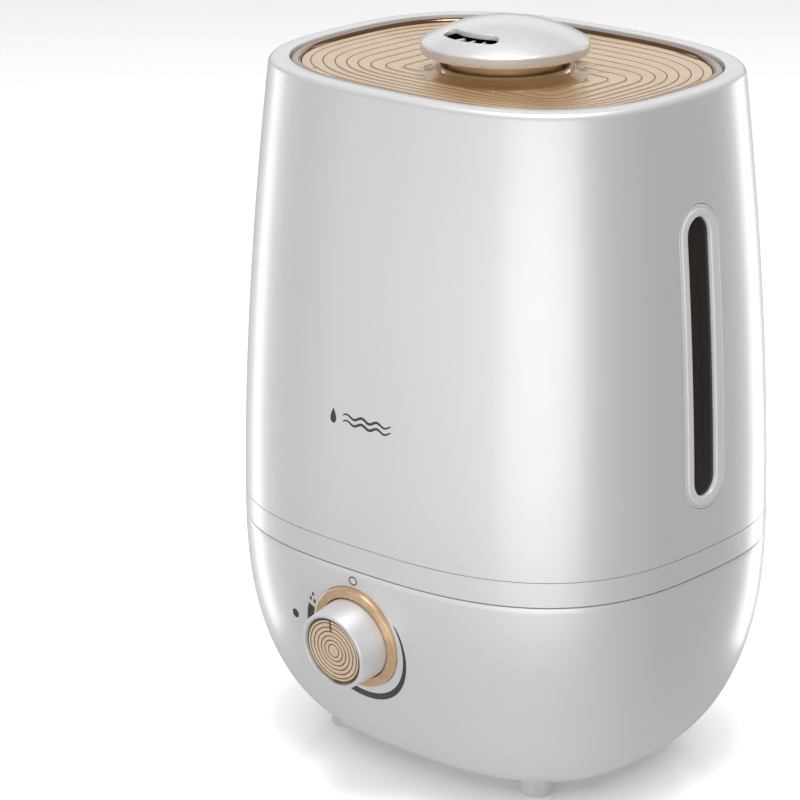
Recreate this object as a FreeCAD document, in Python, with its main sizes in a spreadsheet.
# Cool mist humidifier: a bowl-shaped base, a lift-off water tank and a turning mist nozzle.
# Millimetres. +Z is up, the knob faces -Y, the water-level window is on +X, and the floor is z = 0.
import FreeCAD
import Part
import Sketcher
import math
import os
import re
from types import SimpleNamespace
from FreeCAD import Placement, Rotation, Vector

SIZES = {
    # whole outline
    "body_width": 220.0,
    "body_depth": 188.0,
    "body_height": 304.0,
    "plan_power": 2.766,
    "foot_height": 6.0,
    "widest_height": 107.0,
    "bowl_draw": 36.0,
    "bowl_rise_power": 2.5,
    "bowl_side_power": 1.5,
    "crown_draw": 12.2,
    "crown_power": 1.75,
    "front_lean": 0.05,
    "rim_round": 2.8,
    # shells
    "wall": 2.5,
    "parting_height": 101.5,
    "parting_gap": 0.5,
    "band_height": 10.5,
    "weld_line": 0.1,
    "tongue_height": 6.0,
    "fit_gap": 0.2,
    # top cover
    "rim_land": 5.4,
    "trim_width": 4.0,
    "trim_gap": 0.2,
    "cover_pocket": 10.0,
    "cover_drop": 2.2,
    "cover_dish": 3.8,
    "cover_thickness": 2.0,
    "collar_foot_reach": 10.2,
    "collar_ring_reach": 4.7,
    "collar_lip_reach": 2.5,
    "collar_rise": 3.0,
    "collar_lip_rise": 4.7,
    "collar_funnel": 3.2,
    # nozzle
    "neck_radius": 24.5,
    "neck_wall": 3.0,
    "neck_gap": 0.4,
    "neck_length": 22.0,
    "seal_thickness": 1.5,
    "cap_radius": 35.7,
    "cap_rim": 4.4,
    "cap_dome": 10.0,
    "cap_wall": 2.0,
    "cap_gap": 0.2,
    "cap_spigot": 8.0,
    "slot_gap": 0.2,
    "slot_width": 6.0,
    "slot_half_angle": 27.0,
    # chimney
    "chimney_radius": 22.0,
    "chimney_wall": 2.0,
    "chimney_cup_height": 10.0,
    # window
    "window_middle": 195.0,
    "window_length": 129.2,
    "window_width": 26.0,
    "window_border": 5.5,
    "window_flange": 3.0,
    "lens_thickness": 2.0,
    # water tray
    "deck_height": 94.5,
    "deck_thickness": 2.5,
    "ledge_width": 3.0,
    "ledge_height": 3.0,
    "tray_rim": 2.0,
    "sump_margin": 3.5,
    "sump_width": 72.0,
    "sump_floor": 62.0,
    "sump_wall": 2.5,
    "mist_cup_radius": 26.0,
    "mist_cup_wall": 2.0,
    "mist_cup_top": 98.0,
    "rest_radius": 5.0,
    "rest_across": 72.0,
    "rest_along": 55.0,
    "post_radius": 4.5,
    "post_across": 62.0,
    "post_along": 12.0,
    # bottom plate and what stands on it
    "plate_thickness": 2.4,
    "foot_radius": 7.5,
    "foot_across": 55.0,
    "foot_along": 42.0,
    "screw_radius": 1.5,
    "standoff_height": 5.6,
    # filler neck, cap and valve
    "filler_across": -54.0,
    "filler_outer": 22.0,
    "filler_inner": 19.5,
    "filler_drop": 15.75,
    "filler_cap_radius": 26.5,
    "filler_cap_wall": 2.1,
    "filler_cap_floor": 2.5,
    "gasket_thickness": 1.5,
    "lug_reach": 2.0,
    "stem_radius": 3.0,
    "stem_play": 0.08,
    "valve_seat_radius": 7.0,
    "valve_lift": 5.0,
    "valve_head_radius": 9.5,
    "stem_clip_drop": 8.0,
    # float
    "float_across": 50.0,
    "float_radius": 12.0,
    "float_height": 10.0,
    "float_post_radius": 3.5,
    "float_travel": 8.0,
    # mist maker
    "disc_radius": 11.0,
    "disc_thickness": 1.2,
    "disc_window": 8.6,
    # fan
    "fan_along": 28.0,
    "fan_side": 50.0,
    "fan_depth": 15.0,
    "fan_bore": 22.5,
    "fan_tip_gap": 0.8,
    "fan_hub": 9.0,
    "hatch_inset": 2.0,
    "board_along": -27.0,
    "duct_length": 36.0,
    "duct_width": 16.0,
    "duct_along": 49.0,
    # knob
    "knob_across": -3.5,
    "knob_height": 70.5,
    "ring_outer": 22.8,
    "ring_inner": 18.6,
    "ring_rise": 1.2,
    "ring_depth": 7.0,
    "knob_gap": 0.5,
    "knob_taper": 0.9,
    "knob_rise": 15.0,
    "knob_cap_radius": 15.1,
    "groove_first": 2.6,
    "groove_pitch": 2.0,
    "groove_width": 0.7,
    "groove_depth": 0.35,
    "groove_count": 6,
    "pointer_width": 1.1,
    "pointer_length": 5.2,
    "pointer_inset": 1.0,
    "shaft_radius": 3.0,
    "shaft_play": 0.05,
    # indicator and cable inlet
    "lamp_across": -40.7,
    "lamp_height": 70.9,
    "lamp_radius": 2.1,
    "inlet_across": 45.0,
    "inlet_height": 36.0,
    "inlet_bore": 3.3,
    "inlet_radius": 6.0,
}

doc = FreeCAD.newDocument("CoolMistHumidifier")
sheet = doc.addObject("Spreadsheet::Sheet", "Sizes")
for row, (alias, number) in enumerate(SIZES.items(), start=1):
    sheet.set(f"A{row}", alias)
    sheet.set(f"B{row}", str(number))
    sheet.setAlias(f"B{row}", alias)
doc.recompute()
size = SimpleNamespace(**{alias: float(sheet.get(alias)) for alias in SIZES})
subparts = []


# ---------------------------------------------------------------- document helpers


def formula(text):
    """An expression with the sheet's name put before each of its sizes."""
    return re.sub(r"[a-z][a-z_]*", lambda word: "Sizes." + word.group()
                  if word.group() in SIZES else word.group(), str(text))


def number(text):
    """What an expression of the sheet's sizes comes to now."""
    return float(sheet.evalExpression(formula(text).replace("Sizes.", "")))


def keep(thing, label):
    """Makes a document object a sub-part under its own name."""
    thing.Label = label
    subparts.append(thing)
    return thing


def move_to(thing, across=0, along=0, up=0):
    """Places an object, with each coordinate bound to the sheet."""
    thing.Placement = Placement(Vector(number(across), number(along), number(up)), Rotation())
    for letter, text in (("x", across), ("y", along), ("z", up)):
        thing.setExpression(f"Placement.Base.{letter}", formula(text))
    return thing


def outline_sketch(body, role, corners):
    """A closed outline on an origin plane of the body. A corner is (across, up) as expressions.
    A third value rounds the run after it: the arc's radius, with a minus sign to bend it inwards."""
    sketch = body.newObject("Sketcher::SketchObject", "Outline")
    plane = next(item for item in body.Origin.OriginFeatures if item.Role == role)
    sketch.AttachmentSupport = [(plane, "")]
    sketch.MapMode = "FlatFace"
    spots = [Vector(number(corner[0]), number(corner[1]), 0) for corner in corners]
    edges, starts, links, bound = [], [], [], []
    for index, corner in enumerate(corners):
        first, last = spots[index], spots[(index + 1) % len(spots)]
        if len(corner) == 2:
            edges.append(Part.LineSegment(first, last))
            starts.append(1)
            continue
        radius = number(corner[2])
        half = (last - first).Length / 2
        side = Vector(last.y - first.y, first.x - last.x, 0).normalize()
        sign = 1 if radius > 0 else -1
        bulge = abs(radius) - math.sqrt(max(radius * radius - half * half, 0))
        middle = (first + last) / 2 + side * bulge * sign
        edges.append(Part.Arc(first, middle, last))
        starts.append(1 if sign > 0 else 2)
    sketch.addGeometry(edges)
    for index, corner in enumerate(corners):
        after = (index + 1) % len(corners)
        links.append(Sketcher.Constraint("Coincident", index, 3 - starts[index], after, starts[after]))
        for kind, axis, text, value in (("DistanceX", -2, corner[0], spots[index].x),
                                        ("DistanceY", -1, corner[1], spots[index].y)):
            if str(text) == "0":
                links.append(Sketcher.Constraint("PointOnObject", index, starts[index], axis))
                continue
            links.append(Sketcher.Constraint(kind, -1, 1, index, starts[index], value))
            bound.append((len(links) - 1, text))
        if len(corner) == 3:
            links.append(Sketcher.Constraint("Radius", index, abs(number(corner[2]))))
            bound.append((len(links) - 1, str(corner[2]).lstrip("-")))
    sketch.addConstraint(links)
    for index, text in bound:
        if re.search("[a-z]", str(text)):
            sketch.setExpression(f"Constraints[{index}]", formula(text))
    return sketch


def turned(label, corners, across=0, along=0, up=0):
    """A round sub-part: an outline of (radius, height) corners revolved about the body's own Z."""
    body = doc.addObject("PartDesign::Body", label)
    sketch = outline_sketch(body, "XZ_Plane", corners)
    spin = body.newObject("PartDesign::Revolution", "Turned")
    spin.Profile = sketch
    spin.ReferenceAxis = (sketch, ["V_Axis"])
    spin.Angle = 360
    move_to(body, across, along, up)
    return keep(body, label)


def ring_corners(inner, outer, low, high):
    """The outline of a plain ring or tube."""
    return [(inner, low), (outer, low), (outer, high), (inner, high)]


def block(label, middle_x, middle_y, low, length, width, thickness):
    """A rectangular sub-part as a Part box bound to the sheet."""
    box = doc.addObject("Part::Box", label)
    for name, text in (("Length", length), ("Width", width), ("Height", thickness)):
        setattr(box, name, number(text))
        box.setExpression(name, formula(text))
    move_to(box, f"{middle_x} - ({length}) / 2", f"{middle_y} - ({width}) / 2", low)
    return keep(box, label)


def shaped(label, shape, placement=None):
    """A sub-part whose shape comes from Part's own functions."""
    part = doc.addObject("Part::Feature", label)
    part.Shape = shape
    if placement is not None:
        part.Placement = placement
    return keep(part, label)


# ---------------------------------------------------------------- plain solids for booleans


def rod(radius, low, high, x=0.0, y=0.0):
    return Part.makeCylinder(radius, high - low, Vector(x, y, low))


def tube(inner, outer, low, high, x=0.0, y=0.0):
    return rod(outer, low, high, x, y).cut(rod(inner, low - 1, high + 1, x, y))


def brick(length, width, low, high, x=0.0, y=0.0):
    corner = Vector(x - length / 2, y - width / 2, low)
    return Part.makeBox(length, width, high - low, corner)


def racetrack(length, width, low, high):
    """An upright slot shape with round ends: long along Y, extruded along Z."""
    straight = (length - width) / 2
    middle = Part.makeBox(width, 2 * straight, high - low, Vector(-width / 2, -straight, low))
    ends = [rod(width / 2, low, high, 0, side * straight) for side in (-1, 1)]
    return middle.fuse(ends).removeSplitter()


# ---------------------------------------------------------------- the outer skin


def half_width(height):
    """Half the body's width: a bowl below the widest height, and sides that lean in above it."""
    if height < size.widest_height:
        share = (size.widest_height - height) / (size.widest_height - size.foot_height)
        bowl = (1 - min(share, 1.0) ** size.bowl_rise_power) ** (1 / size.bowl_side_power)
        return size.body_width / 2 - size.bowl_draw * (1 - bowl)
    share = (height - size.widest_height) / (size.body_height - size.widest_height)
    return size.body_width / 2 - size.crown_draw * share ** size.crown_power


def half_depth(height):
    """Half the body's depth: the front and back lean in a little faster than the sides."""
    drawn = size.body_width / 2 - half_width(height)
    return size.body_depth / 2 - (1 + size.front_lean) * drawn


def plan_wire(across, along, height, steps=40):
    """A rounded-square plan curve, |x/a|^p + |y/b|^p = 1, as one closed spline."""
    points = []
    for step in range(steps):
        angle = 2 * math.pi * step / steps
        cosine, sine = math.cos(angle), math.sin(angle)
        reach = (abs(cosine / across) ** size.plan_power
                 + abs(sine / along) ** size.plan_power) ** (-1 / size.plan_power)
        points.append(Vector(reach * cosine, reach * sine, height))
    curve = Part.BSplineCurve()
    curve.interpolate(points, PeriodicFlag=True)
    return Part.Wire([curve.toShape()])


def skin(low, high, inset=0.0, levels=9, crowding=1.0):
    """A solid that follows the outer skin between two heights, drawn in by a wall's thickness.
    Crowding above 1 puts more of the levels near the low end, where the bowl turns fast."""
    wires = []
    for level in range(levels):
        height = low + (high - low) * (level / (levels - 1)) ** crowding
        slope = (half_width(height + 0.5) - half_width(height - 0.5)) if inset else 0.0
        drawn = inset * math.sqrt(1 + min(slope, 1.6) ** 2)
        wires.append(plan_wire(half_width(height) - drawn, half_depth(height) - drawn, height))
    return Part.makeLoft(wires, True)


def plan_prism(inset, low, high, at=None):
    """A straight prism of the plan curve at one height, drawn in by an inset."""
    height = size.body_height if at is None else at
    wire = plan_wire(half_width(height) - inset, half_depth(height) - inset, low)
    return Part.Face(wire).extrude(Vector(0, 0, high - low))


def skin_placement(across, height, side=-1):
    """The frame of a fitting on the front (side -1) or back (side 1): origin on the skin, Z outwards."""
    power = size.plan_power
    a, b = half_width(height), half_depth(height)
    along = side * b * (1 - abs(across / a) ** power) ** (1 / power)
    out_x = math.copysign(abs(across) ** (power - 1) / a ** power, across)
    out_y = math.copysign(abs(along) ** (power - 1) / b ** power, along)
    flat = math.hypot(out_x, out_y)
    rise = half_depth(height + 1) - half_depth(height - 1)
    out = Vector(out_x / flat, out_y / flat, -rise / 2).normalize()
    right = Vector(0, 0, 1).cross(out).normalize()
    return Placement(Vector(across, along, height), Rotation(right, out.cross(right), out, "ZXY"))


def turned_on(label, corners, placement):
    """A round sub-part whose own Z lies along a fitting's axis."""
    body = turned(label, corners)
    for letter in "xyz":
        body.setExpression(f"Placement.Base.{letter}", None)
    body.Placement = placement
    return body


# Heights and insets that several sub-parts share.
base_top = size.parting_height - size.parting_gap / 2
tank_foot = size.parting_height + size.parting_gap / 2
tank_floor = tank_foot + size.wall
band_top = tank_foot + size.band_height
pocket_floor = size.body_height - size.cover_pocket
tank_ceiling = pocket_floor - size.wall
land_inset = size.rim_round + size.rim_land
trim_inset = land_inset + size.trim_gap
cover_inset = trim_inset + size.trim_width + size.trim_gap
cover_edge = size.body_height - size.cover_drop
deck_top = size.deck_height + size.deck_thickness
plate_top = size.foot_height + size.plate_thickness
sump_under = size.sump_floor - size.sump_wall
sump_length = 2 * (size.filler_cap_radius - size.filler_across + size.sump_margin)
cup_inner = size.neck_radius + size.neck_gap
cup_outer = cup_inner + size.chimney_wall
knob_frame = skin_placement(size.knob_across, size.knob_height)
lamp_frame = skin_placement(size.lamp_across, size.lamp_height)
inlet_frame = skin_placement(size.inlet_across, size.inlet_height, side=1)


# ---------------------------------------------------------------- tank


def make_tank_shell():
    """The tall cup of the tank, open below, with a pocket in its top for the cover."""
    shoulder = size.body_height - size.rim_round
    outer = skin(band_top + size.weld_line, shoulder).fuse(rounded_rim(shoulder))
    inner = skin(band_top, tank_ceiling, size.wall)
    pocket = plan_prism(land_inset, pocket_floor, size.body_height + 1)
    shell = outer.cut([inner, pocket, rod(cup_outer, tank_ceiling - 1, pocket_floor + 1)])
    window = racetrack(size.window_length, size.window_width, 0, size.body_width)
    return shell.cut(stand_window(window))


def rounded_rim(shoulder):
    """The rounded top edge of the tank, as a stack of plan curves up a quarter circle."""
    wires = []
    for step in range(6):
        angle = math.radians(90 * step / 5)
        drawn = size.rim_round * (1 - math.cos(angle))
        wires.append(plan_wire(half_width(shoulder) - drawn, half_depth(shoulder) - drawn,
                               shoulder + size.rim_round * math.sin(angle)))
    return Part.makeLoft(wires, True)


def stand_window(solid):
    """Turns a racetrack drawn flat so that it stands in the +X wall at the window's height."""
    placed = solid.copy()
    placed.Placement = Placement(Vector(0, 0, size.window_middle),
                                 Rotation(Vector(0, 1, 0), Vector(0, 0, 1), Vector(1, 0, 0), "ZXY"))
    return placed


def make_tank_base():
    """The band above the parting line, the tank's floor and the filler neck."""
    outer = skin(tank_foot, band_top, 0.0, levels=3)
    inner = skin(tank_floor, band_top + 1, size.wall, levels=3)
    tongue_outer = skin(tank_floor, band_top + size.tongue_height, size.wall + size.fit_gap, levels=3)
    tongue_inner = skin(tank_floor, band_top + size.tongue_height + 1, 2 * size.wall, levels=3)
    filler_foot = tank_foot - size.filler_drop
    solid = outer.cut(inner).fuse([tongue_outer.cut(tongue_inner),
                                   rod(size.filler_outer, filler_foot, tank_floor, size.filler_across)])
    solid = solid.fuse([filler_lug(turn, filler_foot + 4) for turn in (0, 120, 240)])
    cuts = [rod(size.filler_inner, filler_foot - 1, tank_floor + 1, size.filler_across),
            rod(size.chimney_radius - size.chimney_wall, tank_foot - 1, tank_floor + 1)]
    return solid.cut(cuts).removeSplitter()


def filler_lug(turn, low):
    """One of the three bayonet lugs round the filler neck."""
    reach = size.filler_outer + size.lug_reach
    lug = Part.makeCylinder(reach, 2.5, Vector(0, 0, low), Vector(0, 0, 1), 30)
    lug = lug.cut(rod(size.filler_outer - 0.5, low - 1, low + 4))
    lug.rotate(Vector(0, 0, 0), Vector(0, 0, 1), turn - 15)
    lug.translate(Vector(size.filler_across, 0, 0))
    return lug


def dish(drop):
    """The hollow of the cover's upper face as a solid: shallow, and flat in the middle."""
    wires = []
    for level in range(7):
        share = 0.4 + 0.6 * level / 6
        rise = ((share - 0.4) / 0.6) ** 1.5
        edge = cover_inset + 0.8
        wires.append(plan_wire((half_width(size.body_height) - edge) * share,
                               (half_depth(size.body_height) - edge) * share,
                               cover_edge - size.cover_dish * (1 - rise) - drop))
    return Part.makeLoft(wires, True)


def make_top_cover():
    """The gold cover: a shallow dish on a skirt, with the collar that holds the nozzle."""
    dish_floor = cover_edge - size.cover_dish
    plate = plan_prism(cover_inset, pocket_floor, cover_edge).cut(dish(0))
    room = plan_prism(cover_inset + size.cover_thickness, pocket_floor, cover_edge)
    room = room.common(brick(400, 400, pocket_floor, cover_edge - size.cover_thickness - 0.6))
    plate = plate.cut(room.cut(dish(size.cover_thickness)))
    foot = size.neck_radius + size.collar_foot_reach
    ring = size.neck_radius + size.collar_ring_reach
    lip = size.neck_radius + size.collar_lip_reach
    lip_top = dish_floor + size.collar_lip_rise
    bore = cup_inner + 0.1
    sunk = dish_floor - size.cover_thickness / 4
    flank = Part.Arc(Vector(foot, 0, sunk),
                     Vector((foot + ring) / 2 - 0.7, 0, dish_floor + size.collar_rise * 0.32),
                     Vector(ring, 0, dish_floor + size.collar_rise)).toShape()
    corners = [Vector(ring, 0, dish_floor + size.collar_rise), Vector(ring - 0.6, 0, lip_top - 0.6),
               Vector(lip + 0.9, 0, lip_top), Vector(lip, 0, lip_top),
               Vector(bore, 0, lip_top - size.collar_funnel), Vector(bore, 0, pocket_floor),
               Vector(cup_outer + 0.4, 0, pocket_floor),
               Vector(cup_outer + 0.4, 0, dish_floor - size.cover_thickness),
               Vector(foot, 0, dish_floor - size.cover_thickness), Vector(foot, 0, sunk)]
    outline = Part.Wire([flank] + Part.makePolygon(corners).Edges)
    collar = Part.Face(outline).revolve(Vector(0, 0, 0), Vector(0, 0, 1), 360)
    hole = rod(foot - 1, pocket_floor - 1, cover_edge)
    return plate.cut(hole).fuse(collar).removeSplitter()


def make_trim_ring():
    """The dark bead between the tank's rim and the cover."""
    high = size.body_height - 0.8
    ring = plan_prism(trim_inset, pocket_floor, high)
    ring = ring.cut(plan_prism(trim_inset + size.trim_width, pocket_floor - 1, high + 1))
    top = [edge for edge in ring.Edges if edge.CenterOfMass.z > high - 0.01]
    return ring.makeFillet(size.trim_width * 0.4, top)


def make_window_frame():
    """The pale border of the window: a racetrack ring cut from the tank's own curved wall."""
    outer = racetrack(size.window_length - 2 * size.fit_gap, size.window_width - 2 * size.fit_gap,
                      0, size.body_width)
    inner = racetrack(size.window_length - 2 * size.window_border,
                      size.window_width - 2 * size.window_border, -1, size.body_width + 1)
    ring = stand_window(outer.cut(inner))
    wall_band = skin(band_top + 8, tank_ceiling - 5, 0.0).cut(skin(band_top + 7, tank_ceiling - 4, size.wall))
    return largest(ring.common(wall_band))


def make_window_lens():
    """The dark lens bonded behind the window's border, on the tank's inner face."""
    flange = 2 * size.window_flange
    blank = racetrack(size.window_length + flange, size.window_width + flange, 0, size.body_width)
    inset = size.wall + 0.05
    low, high = band_top + 8, tank_ceiling - 5
    layer = skin(low, high, inset).cut(skin(low - 1, high + 1, inset + size.lens_thickness))
    return largest(stand_window(blank).common(layer))


def largest(shape):
    """The biggest solid of a boolean result."""
    return max(shape.Solids, key=lambda solid: solid.Volume)


shaped("tank_shell", make_tank_shell())
shaped("tank_base", make_tank_base())
shaped("top_cover", make_top_cover())
shaped("cover_trim_ring", make_trim_ring())
shaped("window_frame", make_window_frame())
shaped("window_lens", make_window_lens())

CHIMNEY_FOOT = "parting_height + parting_gap / 2 + wall"
POCKET_FLOOR = "body_height - cover_pocket"
CUP_INNER = "neck_radius + neck_gap"
CUP_OUTER = f"{CUP_INNER} + chimney_wall"
CUP_SHELF = f"{POCKET_FLOOR} - chimney_cup_height"
turned("mist_chimney", [
    ("chimney_radius - chimney_wall", CHIMNEY_FOOT),
    ("chimney_radius + 5", CHIMNEY_FOOT),
    ("chimney_radius + 5", f"{CHIMNEY_FOOT} + 2"),
    ("chimney_radius", f"{CHIMNEY_FOOT} + 2"),
    ("chimney_radius", f"{CUP_SHELF} - 2"),
    (CUP_OUTER, f"{CUP_SHELF} - 2"),
    (CUP_OUTER, POCKET_FLOOR),
    (CUP_INNER, POCKET_FLOOR),
    (CUP_INNER, CUP_SHELF),
    ("chimney_radius - chimney_wall", CUP_SHELF),
])
seal_corners = ring_corners("chimney_radius - chimney_wall + 0.8", f"{CUP_INNER} - 0.4", 0, "seal_thickness")
turned("nozzle_seal", seal_corners, up=CUP_SHELF)


# ---------------------------------------------------------------- nozzle


NECK_FOOT = f"{CUP_SHELF} + seal_thickness"
turned("nozzle_neck", [
    ("neck_radius - neck_wall", 0),
    ("neck_radius - 0.6", 0),
    ("neck_radius", "0.6"),
    ("neck_radius", "neck_length - 0.4"),
    ("neck_radius - 0.4", "neck_length"),
    ("neck_radius - neck_wall", "neck_length"),
], up=NECK_FOOT)


def ring_sector(inner, outer, low, high, half_angle):
    """A curved slot's solid, centred on -Y, with round ends."""
    middle, reach = (inner + outer) / 2, (outer - inner) / 2
    sector = Part.makeCylinder(outer, high - low, Vector(0, 0, low), Vector(0, 0, 1), 2 * half_angle)
    sector = sector.cut(rod(inner, low - 1, high + 1))
    sector.rotate(Vector(0, 0, 0), Vector(0, 0, 1), -90 - half_angle)
    ends = []
    for turn in (-half_angle, half_angle):
        angle = math.radians(turn - 90)
        ends.append(rod(reach, low, high, middle * math.cos(angle), middle * math.sin(angle)))
    return sector.fuse(ends).removeSplitter()


CAP_FOOT = f"{NECK_FOOT} + neck_length + cap_gap"
SPIGOT = "neck_radius - neck_wall - neck_gap"
DOME = "(cap_radius * cap_radius + cap_dome * cap_dome) / (2 * cap_dome)"
cap_blank = doc.addObject("PartDesign::Body", "NozzleCapBlank")
cap_sketch = outline_sketch(cap_blank, "XZ_Plane", [
    (f"{SPIGOT} - 1.8", "-cap_spigot"),
    (SPIGOT, "-cap_spigot"),
    (SPIGOT, 0),
    ("cap_radius - 0.6", 0),
    ("cap_radius", "0.6"),
    ("cap_radius", "cap_rim", DOME),
    (0, "cap_rim + cap_dome"),
    (0, "cap_rim + cap_dome - cap_wall", f"-({DOME} - cap_wall)"),
    ("cap_radius - 2.2", "cap_wall + 0.4"),
    ("cap_radius - 3", "cap_wall"),
    (f"{SPIGOT} - 1.8", "cap_wall"),
])
cap_spin = cap_blank.newObject("PartDesign::Revolution", "Turned")
cap_spin.Profile = cap_sketch
cap_spin.ReferenceAxis = (cap_sketch, ["V_Axis"])
cap_spin.Angle = 360
slot_inner = size.neck_radius - size.neck_wall - size.neck_gap + size.slot_gap
slot = doc.addObject("Part::Feature", "MistSlot")
slot.Shape = ring_sector(slot_inner, slot_inner + size.slot_width, size.cap_rim,
                         size.cap_rim + size.cap_dome + 1, size.slot_half_angle)
nozzle_cap = doc.addObject("Part::Cut", "nozzle_cap")
nozzle_cap.Base = cap_blank
nozzle_cap.Tool = slot
move_to(nozzle_cap, up=CAP_FOOT)
keep(nozzle_cap, "nozzle_cap")


# ---------------------------------------------------------------- base


def make_base_shell():
    """The bowl: open above for the tray and below for the bottom plate."""
    outer = skin(size.foot_height, base_top, 0.0, levels=13, crowding=2.0)
    below = skin(plate_top, size.deck_height - size.ledge_height, size.wall, levels=12, crowding=1.8)
    at_ledge = size.wall + size.ledge_width
    ledge = skin(size.deck_height - size.ledge_height - 0.5, size.deck_height + 0.5, at_ledge, levels=3)
    above = skin(size.deck_height, base_top + 1, size.wall, levels=3)
    hatch = plan_prism(size.hatch_inset + size.ledge_width, size.foot_height - 1, plate_top + 1,
                       at=size.foot_height)
    rebate = plan_prism(size.hatch_inset, size.foot_height - 1, plate_step, at=size.foot_height)
    shell = outer.cut([below, ledge, above, hatch, rebate])
    sleeve = rod(size.ring_outer + 3, -size.ring_depth, 0)
    sleeve.Placement = knob_frame
    shell = shell.fuse(sleeve.common(outer))
    holes = [(rod(size.ring_outer + 0.1, -20, 20), knob_frame),
             (rod(size.ring_outer + 3.3, -20, -size.ring_depth), knob_frame),
             (rod(size.lamp_radius + 0.1, -20, 20), lamp_frame),
             (rod(size.inlet_radius + 0.1, -20, 20), inlet_frame),
             (rod(size.inlet_radius + 2.6, -0.8, 10), inlet_frame)]
    for hole, frame in holes:
        hole.Placement = frame
        shell = shell.cut(hole)
    return shell


def make_water_tray():
    """The wet deck: a rimmed plate with a sump, the mist cup, the float post and the screw posts."""
    edge = size.wall + size.fit_gap
    deck = plan_prism(edge, size.deck_height, base_top, at=size.deck_height)
    deck = deck.cut(plan_prism(edge + size.tray_rim, deck_top, base_top + 1, at=size.deck_height))
    sump = rounded_block(sump_length, size.sump_width, sump_under, deck_top)
    room = rounded_block(sump_length - 2 * size.sump_wall, size.sump_width - 2 * size.sump_wall,
                         size.sump_floor, deck_top + 1)
    posts = [rod(size.post_radius, plate_top, size.deck_height + 1, x * size.post_across, y * size.post_along)
             for x in (-1, 1) for y in (-1, 1)]
    rests = [rod(size.rest_radius, deck_top - 1, tank_foot, x * size.rest_across, y * size.rest_along)
             for x in (-1, 1) for y in (-1, 1)]
    tray = deck.fuse([sump] + rests).cut(room)
    duct_hole = brick(size.duct_length + 0.6, size.duct_width + 0.6, size.deck_height - 1, deck_top + 1,
                      0, size.duct_along)
    cup = tube(size.mist_cup_radius - size.mist_cup_wall, size.mist_cup_radius, size.sump_floor - 1,
               size.mist_cup_top)
    notches = [brick(12, 80, size.sump_floor, size.sump_floor + 8),
               brick(30, 30, deck_top, size.mist_cup_top + 1, 0, 25)]
    cup = cup.cut(notches)
    pin_top = valve_clip_low
    inside = [cup, rod(4.0, size.sump_floor - 1, pin_top, size.filler_across),
              rod(size.float_post_radius, size.sump_floor - 1, float_clip_low + 1.5, size.float_across),
              tube(size.float_post_radius, size.float_post_radius + 2, size.sump_floor - 1,
                   float_low, size.float_across)]
    tray = tray.fuse(inside + [post.cut(room) for post in posts])
    bores = [rod(size.disc_window, sump_under - 1, size.sump_floor + 1),
             rod(2.3, sump_under - 1, float_clip_low - 2, size.float_across), duct_hole]
    bores += [rod(size.screw_radius - 0.1, plate_top - 1, plate_top + 12,
                  x * size.post_across, y * size.post_along)
              for x in (-1, 1) for y in (-1, 1)]
    bores += [rod(1.2, sump_under - 1, sump_under + 2, side * 13.0, 0) for side in (-1, 1)]
    knob_room = rod(size.ring_outer + 3.3, -20, 5)
    knob_room.Placement = knob_frame
    return tray.cut(bores + [knob_room]).removeSplitter()


def rounded_block(length, width, low, high):
    """A block whose upright edges are well rounded."""
    solid = brick(length, width, low, high)
    upright = [edge for edge in solid.Edges if abs(edge.tangentAt(edge.FirstParameter).z) > 0.9]
    return solid.makeFillet(width * 0.3, upright)


def make_bottom_plate():
    """The plate that closes the base, with the air grille, screw seats and standoffs."""
    edge = size.hatch_inset + size.fit_gap
    plate = plan_prism(edge, size.foot_height, plate_step, at=size.foot_height)
    plate = plate.fuse(plan_prism(edge + size.ledge_width, plate_step, plate_top, at=size.foot_height))
    fan_y = size.fan_along
    standoffs = [rod(2.5, plate_top - 1, plate_top + size.standoff_height, x * 19.5, fan_y + y * 19.5)
                 for x in (-1, 1) for y in (-1, 1)]
    standoffs += [rod(2.5, plate_top - 1, plate_top + size.standoff_height,
                      x * 36.0, size.board_along + y * 16.0)
                  for x in (-1, 1) for y in (-1, 1)]
    plate = plate.fuse(standoffs)
    slits = [brick(grille_reach(offset), 2.4, 0, plate_top + 1, 0, fan_y + offset)
             for offset in (-15.0, -10.0, -5.0, 0.0, 5.0, 10.0, 15.0)]
    seats = []
    for x in (-1, 1):
        for y in (-1, 1):
            spot = (x * size.post_across, y * size.post_along)
            seats.append(rod(size.screw_radius + 0.2, 0, plate_top + 1, *spot))
            seats.append(rod(3.2, 0, size.foot_height + 1.2, *spot))
    return plate.cut(slits + seats)


def grille_reach(offset):
    """The length of a grille slit so that all of them stay inside a circle."""
    return 2 * math.sqrt(19.0 ** 2 - offset ** 2)


def make_base_screws():
    """Four countersunk screws, one under each post of the tray."""
    screws = []
    for x in (-1, 1):
        for y in (-1, 1):
            spot = (x * size.post_across, y * size.post_along)
            head = rod(2.9, size.foot_height + 0.1, size.foot_height + 1.2, *spot)
            cross = brick(3.4, 0.7, 0, size.foot_height + 0.6, *spot)
            shank = rod(size.screw_radius - 0.1, size.foot_height + 1.1, plate_top + 10, *spot)
            screws.append(head.cut(cross).fuse(shank).removeSplitter())
    return Part.makeCompound(screws)


plate_step = size.foot_height + size.plate_thickness / 2
cap_floor_top = tank_foot - size.filler_drop - size.gasket_thickness
cap_under = cap_floor_top - size.filler_cap_floor
valve_clip_top = cap_under - size.stem_clip_drop
valve_clip_low = valve_clip_top - 2.0
float_low = size.sump_floor + 2.0
float_clip_low = float_low + size.float_height + size.float_travel + 2.0

shaped("base_shell", make_base_shell())
shaped("water_tray", make_water_tray())
shaped("bottom_plate", make_bottom_plate())
shaped("base_screws", make_base_screws())


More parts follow.
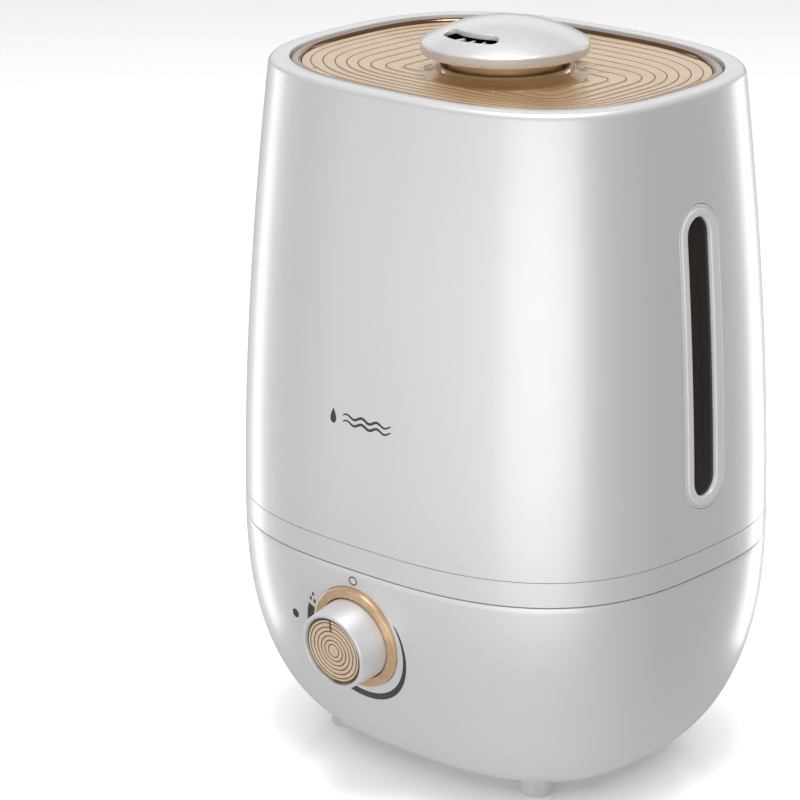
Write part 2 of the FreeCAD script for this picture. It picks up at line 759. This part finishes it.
def make_foot(across, along):
    """A rubber foot whose top follows the bowl."""
    foot = rod(size.foot_radius, 0, size.foot_height + 5, across, along)
    foot = foot.makeFillet(0.8, [min(foot.Edges, key=lambda edge: edge.CenterOfMass.z)])
    return largest(foot.cut(skin(size.foot_height, size.foot_height + 8, 0.0, levels=7, crowding=2.0)))


for front, along_sign in (("front", -1), ("rear", 1)):
    for hand, across_sign in (("left", -1), ("right", 1)):
        foot = make_foot(across_sign * size.foot_across, along_sign * size.foot_along)
        shaped(f"foot_{front}_{hand}", foot)


# ---------------------------------------------------------------- filler cap and valve


def make_fill_cap():
    """A bayonet cap: skirt, floor with three flow windows, and hooks over the neck's lugs."""
    outer, across = size.filler_cap_radius, size.filler_across
    inner = outer - size.filler_cap_wall
    hook_low = tank_foot - size.filler_drop + 4 + 2.5 + 0.5
    top = hook_low + 2.5
    cap = rod(outer, cap_under, top).cut(rod(inner, cap_floor_top, top + 1))
    hooks = []
    for turn in (0, 120, 240):
        hook = Part.makeCylinder(inner + 0.5, 2.5, Vector(0, 0, hook_low), Vector(0, 0, 1), 30)
        hook = hook.cut(rod(size.filler_outer + 0.4, hook_low - 1, top + 1))
        hook.rotate(Vector(0, 0, 0), Vector(0, 0, 1), turn - 15)
        hooks.append(hook)
    cap = cap.fuse(hooks)
    spokes = [brick(2.0, 2 * size.valve_seat_radius + 1, cap_under, cap_floor_top)]
    spokes.append(brick(2 * size.valve_seat_radius + 1, 2.0, cap_under, cap_floor_top))
    hub = rod(size.stem_radius + 2, cap_under, cap_floor_top)
    cap = cap.cut(rod(size.valve_seat_radius, cap_under - 1, cap_floor_top + 1)).fuse(spokes + [hub])
    cap = cap.cut(rod(size.stem_radius + size.stem_play, cap_under - 1, cap_floor_top + 1))
    cap.translate(Vector(across, 0, 0))
    return cap.removeSplitter()


def make_spring(radius, wire, low, high, turns):
    """A helical compression spring with its wire's ends inside the given height."""
    pitch = (high - low - wire) / turns
    helix = Part.makeHelix(pitch, pitch * turns, radius)
    helix.translate(Vector(0, 0, low + wire / 2))
    start = helix.Vertexes[0].Point
    ring = Part.Wire([Part.makeCircle(wire / 2, start, Vector(0, 1, 0))])
    return Part.Wire(helix.Edges).makePipeShell([ring], True, True)


shaped("fill_cap", make_fill_cap())
GASKET_LOW = "parting_height + parting_gap / 2 - filler_drop - gasket_thickness"
turned("fill_cap_gasket", ring_corners("filler_inner", "filler_outer", 0, "gasket_thickness"),
       "filler_across", 0, GASKET_LOW)
turned("valve_seal", ring_corners("stem_radius", "valve_head_radius", 0, "gasket_thickness"),
       "filler_across", 0, f"{GASKET_LOW} + valve_lift")
HEAD_LOW = f"{GASKET_LOW} + valve_lift + gasket_thickness"
STEM_LOW = "gasket_thickness + valve_lift + filler_cap_floor + stem_clip_drop"
turned("valve_plunger", [
    (0, f"-({STEM_LOW})"), ("stem_radius", f"-({STEM_LOW})"), ("stem_radius", 0),
    ("valve_head_radius - 0.5", 0), ("valve_head_radius - 0.5", "1.6"), ("stem_radius", "3"), (0, "3"),
], "filler_across", 0, HEAD_LOW)
turned("stem_clip", [
    (0, 0), ("stem_radius + 3", 0), ("stem_radius + 3", 2), (0, 2),
], "filler_across", 0, f"{GASKET_LOW} - filler_cap_floor - stem_clip_drop - 2")
spring = shaped("valve_spring", make_spring(size.stem_radius + 1.3, 0.8, 0, size.stem_clip_drop, 4))
move_to(spring, "filler_across", 0, f"{GASKET_LOW} - filler_cap_floor - stem_clip_drop")


# ---------------------------------------------------------------- float


FLOAT_LOW = "sump_floor + 2"
turned("float_ring", [
    ("float_post_radius + 0.5", "3.4"), ("float_radius - 3.5", "3.4"), ("float_radius - 3.5", 0),
    ("float_radius - 0.8", 0), ("float_radius", "0.8"),
    ("float_radius", "float_height - 1"), ("float_radius - 1", "float_height"),
    ("float_post_radius + 0.5", "float_height"),
], "float_across", 0, FLOAT_LOW)
turned("float_magnet", ring_corners("float_post_radius + 0.5", "float_radius - 3.6", "0.2", "3.4"),
       "float_across", 0, FLOAT_LOW)
turned("float_clip", ring_corners("float_post_radius", "float_post_radius + 2.5", 0, "1.5"),
       "float_across", 0, f"{FLOAT_LOW} + float_height + float_travel + 2")
turned("reed_switch", [(0, 0), ("1.8", 0), ("1.8", 14), (0, 14)], "float_across", 0, "sump_floor")


# ---------------------------------------------------------------- mist maker


UNDER_SUMP = "sump_floor - sump_wall"
turned("transducer_gasket", ring_corners("disc_window", "disc_radius + 0.4", "-1.2", 0), up=UNDER_SUMP)
turned("transducer_disc", [(0, "-1.2 - disc_thickness"), ("disc_radius", "-1.2 - disc_thickness"),
                           ("disc_radius", "-1.2"), (0, "-1.2")], up=UNDER_SUMP)
turned("transducer_holder", [
    ("disc_window", "-7.5"), ("disc_radius + 5", "-7.5"), ("disc_radius + 5", 0),
    ("disc_radius + 0.5", 0), ("disc_radius + 0.5", "-1.2 - disc_thickness"),
    ("disc_window", "-1.2 - disc_thickness"),
], up=UNDER_SUMP)


def make_heat_sink():
    """A finned plate under the transducer holder."""
    top = sump_under - 7.5
    plate = brick(60, 44, top - 3, top)
    fins = [brick(2, 44, top - 9, top - 2.9, offset) for offset in range(-28, 29, 8)]
    return plate.fuse(fins).removeSplitter()


shaped("heat_sink", make_heat_sink())
block("driver_board", 0, 0, f"{UNDER_SUMP} - 7.5 - 9 - 1.6", 60, 44, "1.6")


# ---------------------------------------------------------------- power and air


PLATE_TOP = "foot_height + plate_thickness"
BOARD_LOW = f"{PLATE_TOP} + standoff_height"
block("power_board", 0, size.board_along, BOARD_LOW, 80, 44, "1.6")
block("transformer", -20, size.board_along, f"{BOARD_LOW} + 1.6", 28, 24, 21)


def make_capacitors():
    """Three upright capacitors on the power board."""
    low = plate_top + size.standoff_height + 1.6
    spots = ((5.0, 16.0, 12.0, -8.0), (4.0, 12.0, 24.0, -8.0), (4.0, 12.0, 24.0, 6.0))
    return Part.makeCompound([rod(radius, low, low + tall, across, size.board_along + along)
                              for radius, tall, across, along in spots])


def make_fan_housing():
    """A square fan frame with a bored throat, four spokes and the bearing hub."""
    low = plate_top + size.standoff_height
    high = low + size.fan_depth
    frame = brick(size.fan_side, size.fan_side, low, high).cut(rod(size.fan_bore, low - 1, high + 1))
    spokes = [brick(2 * size.fan_bore + 2, 3, low, low + 1.5),
              brick(3, 2 * size.fan_bore + 2, low, low + 1.5)]
    frame = frame.fuse(spokes + [rod(8.0, low, low + 1.5)])
    frame = frame.cut(rod(1.0 + 0.06, low - 1, low + 3)).removeSplitter()
    frame.translate(Vector(0, size.fan_along, 0))
    return frame


def make_fan_rotor():
    """A cup hub with seven pitched blades."""
    low = plate_top + size.standoff_height + 2.6
    high = low + size.fan_depth - 4.6
    hub = rod(size.fan_hub, low, high).cut(rod(size.fan_hub - 1.4, low - 1, high - 1.4))
    hub = hub.fuse(rod(1.8, high - 3, high))
    hub = hub.cut(rod(1.0, low - 1, high - 0.5))
    tip = size.fan_bore - size.fan_tip_gap
    blades = []
    for count in range(7):
        blade = brick(tip - size.fan_hub + 2, 1.4, -14, 14, (tip + size.fan_hub - 1) / 2)
        blade.rotate(Vector(0, 0, 0), Vector(1, 0, 0), 48)
        blade.translate(Vector(0, 0, (low + high) / 2))
        blade.rotate(Vector(0, 0, 0), Vector(0, 0, 1), count * 360 / 7)
        blades.append(blade)
    swept = tube(size.fan_hub - 0.5, tip, low + 0.4, high - 0.4)
    rotor = hub.fuse([blade.common(swept) for blade in blades])
    rotor.translate(Vector(0, size.fan_along, 0))
    return rotor.removeSplitter()


def make_air_duct():
    """A duct that gathers the fan's outlet and carries it up behind the sump."""
    low = plate_top + size.standoff_height + size.fan_depth
    bend = low + 10.5
    top = size.mist_cup_top + 0.5
    solids = []
    for wall in (0.0, 1.6):
        side = size.fan_side - 4 - 2 * wall
        wires = [rectangle(side, side, low - wall, size.fan_along),
                 rectangle(size.duct_length - 2 * wall, size.duct_width - 2 * wall, bend, size.duct_along)]
        funnel = Part.makeLoft(wires, True, True)
        stack = brick(size.duct_length - 2 * wall, size.duct_width - 2 * wall, bend, top + wall,
                      0, size.duct_along)
        solids.append(funnel.fuse(stack).removeSplitter())
    return solids[0].cut(solids[1])


def rectangle(length, width, height, along):
    """A rectangular wire centred on x = 0."""
    spots = [Vector(x * length / 2, along + y * width / 2, height)
             for x, y in ((-1, -1), (1, -1), (1, 1), (-1, 1), (-1, -1))]
    return Part.makePolygon(spots)


shaped("capacitors", make_capacitors())
shaped("fan_housing", make_fan_housing())
shaped("fan_rotor", make_fan_rotor())
turned("fan_shaft", [(0, 0), (1, 0), (1, "fan_depth - 3"), (0, "fan_depth - 3")],
       0, "fan_along", f"{BOARD_LOW} + 0.3")
turned("fan_stator", ring_corners("1.8", "fan_hub - 2.4", 0, "6.5"), 0, "fan_along", f"{BOARD_LOW} + 1.5")
shaped("air_duct", make_air_duct())
block("air_filter", 0, "fan_along", PLATE_TOP, 34, 40, "standoff_height - 1.6")


# ---------------------------------------------------------------- knob and controls


turned_on("knob_ring", [
    ("ring_inner", "-ring_depth"), ("ring_outer", "-ring_depth"), ("ring_outer", "ring_rise - 0.9", 0.9),
    ("ring_outer - 0.9", "ring_rise"), ("ring_inner + 0.6", "ring_rise"), ("ring_inner", "ring_rise - 0.6"),
], knob_frame)
turned_on("knob_backplate", ring_corners("3.6", "ring_outer + 3", "-ring_depth - 2", "-ring_depth"),
          knob_frame)
turned_on("potentiometer", [
    (0, "-ring_depth - 12"), ("8.5", "-ring_depth - 12"),
    ("8.5", "-ring_depth - 2"), ("3.5", "-ring_depth - 2"), ("3.5", "-ring_depth + 1.5"),
    ("shaft_radius + shaft_play", "-ring_depth + 1.5"),
    ("shaft_radius + shaft_play", "-ring_depth - 9"), (0, "-ring_depth - 9"),
], knob_frame)
turned_on("potentiometer_shaft", [
    (0, "-ring_depth - 8.6"), ("shaft_radius", "-ring_depth - 8.6"), ("shaft_radius", 8), (0, 8),
], knob_frame)
KNOB_BASE = "ring_inner - knob_gap"
knob_corners = [
    ("5", "-4.6"), (KNOB_BASE, "-4.6"), (KNOB_BASE, "2"),
    (f"{KNOB_BASE} - knob_taper", "knob_rise - 0.9", 0.9), (f"{KNOB_BASE} - knob_taper - 0.9", "knob_rise"),
    ("knob_cap_radius + 0.9", "knob_rise"), ("knob_cap_radius + 0.1", "knob_rise - 0.8"),
    ("knob_cap_radius + 0.1", "knob_rise - 3"), (0, "knob_rise - 3"), (0, 8), ("shaft_radius", 8),
    ("shaft_radius", "-3"), ("5", "-3"),
]
turned_on("knob", knob_corners, knob_frame)


def make_knob_cap():
    """The gold insert: a disc with fine concentric ridges and a slot for the pointer."""
    low, high = size.knob_rise - 3, size.knob_rise - 0.9
    disc = rod(size.knob_cap_radius, low, high)
    grooves = []
    for number in range(int(size.groove_count)):
        radius = size.groove_first + size.groove_pitch * number
        grooves.append(tube(radius, radius + size.groove_width, high - size.groove_depth, high + 1))
    pocket = brick(size.pointer_width + 0.2, size.pointer_length + 0.2, high - 0.7, high + 1,
                   0, pointer_middle)
    return disc.cut(grooves + [pocket])


pointer_middle = size.knob_cap_radius - size.pointer_inset - size.pointer_length / 2
shaped("knob_cap", make_knob_cap(), knob_frame)
pointer_low = size.knob_rise - 0.9 - 0.7
pointer = brick(size.pointer_width, size.pointer_length, pointer_low, pointer_low + 0.9, 0, pointer_middle)
shaped("knob_pointer", pointer, knob_frame)
board_top = -size.ring_depth - 12
shaped("control_board", brick(64, 24, board_top - 1.6, board_top, -15, 0), knob_frame)
indicator = rod(1.6, board_top, board_top + 5, size.lamp_across - size.knob_across, 1.4)
shaped("indicator_led", indicator, knob_frame)
turned_on("led_lens", [(0, "-7"), ("lamp_radius", "-7"), ("lamp_radius", "-0.2"),
                       ("lamp_radius - 0.3", "0.1"), (0, "0.25")], lamp_frame)
turned_on("cord_gland", [
    ("inlet_bore", "-9"), ("inlet_radius", "-9"), ("inlet_radius", "-0.8"), ("inlet_radius + 2.5", "-0.8"),
    ("inlet_radius + 2.5", "1"), ("inlet_radius + 1.5", 2), ("inlet_bore", 2),
], inlet_frame)
turned_on("gland_nut", ring_corners("inlet_radius", "inlet_radius + 3", "-8.4", "-5.4"), inlet_frame)


# ---------------------------------------------------------------- checks and files


doc.recompute()
for item in doc.Objects:
    if {"Invalid", "Error"} & set(item.State):
        raise RuntimeError(f"{item.Label} is {item.State}")
for part in subparts:
    if part.Shape.isNull() or not part.Shape.isValid() or not part.Shape.Solids:
        raise RuntimeError(f"{part.Label} has no valid solid")
os.makedirs("parts", exist_ok=True)
for part in subparts:
    part.Shape.exportStep(f"parts/{part.Label}.step")
    print(f"{part.Label}: {part.Shape.Volume / 1000:.2f} cm3, {len(part.Shape.Solids)} solid(s)")
knob_axis = knob_frame.Rotation.multVec(Vector(0, 0, 1))
print(f"{len(subparts)} sub-parts; knob axis {knob_axis} at {knob_frame.Base}")
